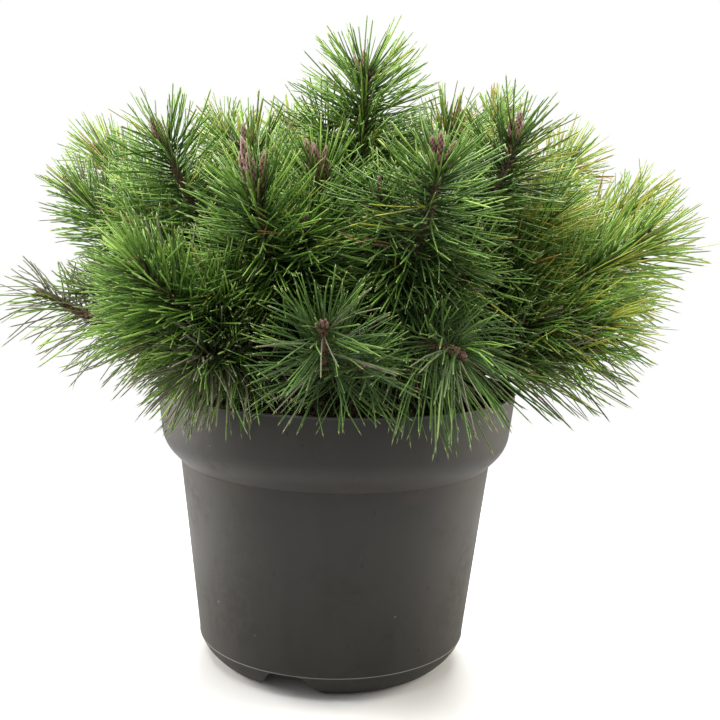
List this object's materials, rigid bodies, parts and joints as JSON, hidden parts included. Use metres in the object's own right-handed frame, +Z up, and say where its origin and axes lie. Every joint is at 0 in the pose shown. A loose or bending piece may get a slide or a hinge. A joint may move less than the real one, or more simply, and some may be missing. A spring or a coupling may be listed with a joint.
{
  "type": "potted mugo pine",
  "caption": "Low, rounded mugo pine with dense upswept shoots of long paired needles, growing in a round dark grey plastic nursery pot with a stepped collar.",
  "frame": {"origin": "middle of the pot's flat underside, on the pot's axis", "axes": "+Z up along the pot's axis, -Y towards the plant's best side, +X to its right as seen from there"},
  "size_m": [0.4432, 0.4034, 0.412],
  "materials": {
    "pot_plastic": "dull warm dark grey moulded plastic",
    "peat": "dark moist peat with bark crumbs",
    "bark": "scaly grey-brown bark",
    "needles": "satin mid green needles"
  },
  "bodies": {
    "root": {"bough_front_rosette": "bark", "bough_low_back": "bark", "bough_low_back_left": "bark", "bough_low_back_right": "bark", "bough_low_left": "bark", "bough_low_right": "bark", "bough_middle_front_left": "bark", "bough_upper_back_left": "bark", "bough_upper_front_right": "bark", "bough_upper_left": "bark", "bough_upper_right": "bark", "bough_upper_right_back": "bark", "branch_far_left_top": "bark", "branch_far_right": "bark", "branch_far_right_back": "bark", "branch_far_right_top": "bark", "branch_low_right_back": "bark", "branch_middle_back": "bark", "branch_middle_back_left": "bark", "branch_middle_back_right": "bark", "branch_middle_left": "bark", "branch_right_rosette": "bark", "branch_top_left": "bark", "branch_top_right_back": "bark", "branch_upper_front_left": "bark", "branch_upper_left_back": "bark", "foliage_far_left_top": "needles", "foliage_far_right": "needles", "foliage_far_right_back": "needles", "foliage_far_right_top": "needles", "foliage_front_rosette": "needles", "foliage_leader": "needles", "foliage_low_back": "needles", "foliage_low_back_left": "needles", "foliage_low_back_right": "needles", "foliage_low_front_left": "needles", "foliage_low_left": "needles", "foliage_low_left_back": "needles", "foliage_low_right": "needles", "foliage_low_right_back": "needles", "foliage_middle_back": "needles", "foliage_middle_back_left": "needles", "foliage_middle_back_right": "needles", "foliage_middle_front_left": "needles", "foliage_middle_left": "needles", "foliage_right_rosette": "needles", "foliage_top_front": "needles", "foliage_top_left": "needles", "foliage_top_right_back": "needles", "foliage_upper_back": "needles", "foliage_upper_back_left": "needles", "foliage_upper_front_left": "needles", "foliage_upper_front_right": "needles", "foliage_upper_left": "needles", "foliage_upper_left_back": "needles", "foliage_upper_right": "needles", "foliage_upper_right_back": "needles", "pot": "pot_plastic", "soil": "peat", "trunk": "bark"}
  },
  "joints": []
}
